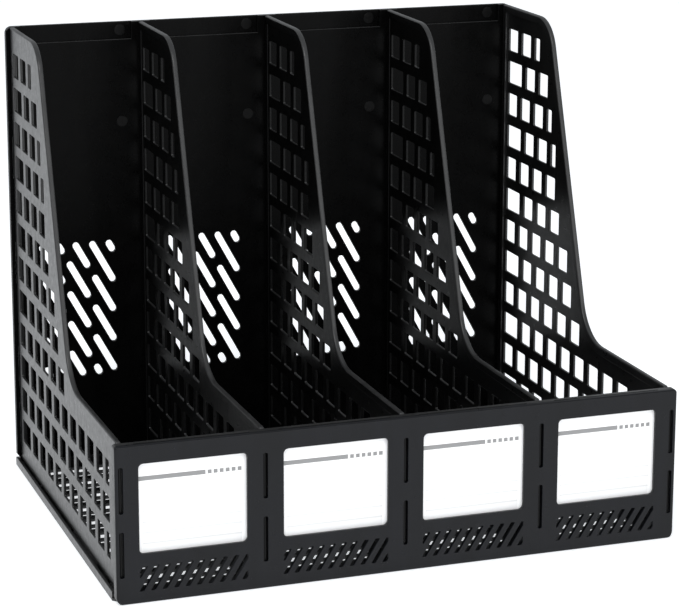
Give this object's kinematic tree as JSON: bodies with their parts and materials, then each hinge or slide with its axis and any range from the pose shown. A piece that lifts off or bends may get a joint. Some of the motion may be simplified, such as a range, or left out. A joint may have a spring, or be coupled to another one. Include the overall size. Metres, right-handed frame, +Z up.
{
  "type": "desktop file sorter",
  "caption": "Desktop file sorter of snap-together black plastic panels: upright open bays with brick-pattern sides, a low front and lift-out label cards.",
  "frame": {"origin": "on the ground plane, under the middle of the rack's bounding box", "axes": "+Z up, +X to the right seen from the front, the low front panel faces -Y"},
  "size_m": [0.331, 0.2574, 0.2775],
  "materials": {
    "panel_plastic": "moulded black polystyrene, semi-gloss",
    "front_plastic": "moulded black polystyrene, satin",
    "card_paper": "white printed card with pale ruled lines"
  },
  "bodies": {
    "rack": {"base_tray": "panel_plastic", "front_panel": "front_plastic", "back_panel": "panel_plastic", "left_side_panel": "panel_plastic", "divider_1": "panel_plastic", "divider_2": "panel_plastic", "divider_3": "panel_plastic", "right_side_panel": "panel_plastic"},
    "card_1": {"label_card_1": "card_paper"},
    "card_2": {"label_card_2": "card_paper"},
    "card_3": {"label_card_3": "card_paper"},
    "card_4": {"label_card_4": "card_paper"}
  },
  "joints": [
    {"name": "card_1_lift", "type": "slide", "parent": "rack", "child": "card_1", "axis": [0, 0, 1], "range_m": [0, 0.066]},
    {"name": "card_2_lift", "type": "slide", "parent": "rack", "child": "card_2", "axis": [0, 0, 1], "range_m": [0, 0.066]},
    {"name": "card_3_lift", "type": "slide", "parent": "rack", "child": "card_3", "axis": [0, 0, 1], "range_m": [0, 0.066]},
    {"name": "card_4_lift", "type": "slide", "parent": "rack", "child": "card_4", "axis": [0, 0, 1], "range_m": [0, 0.066]}
  ]
}
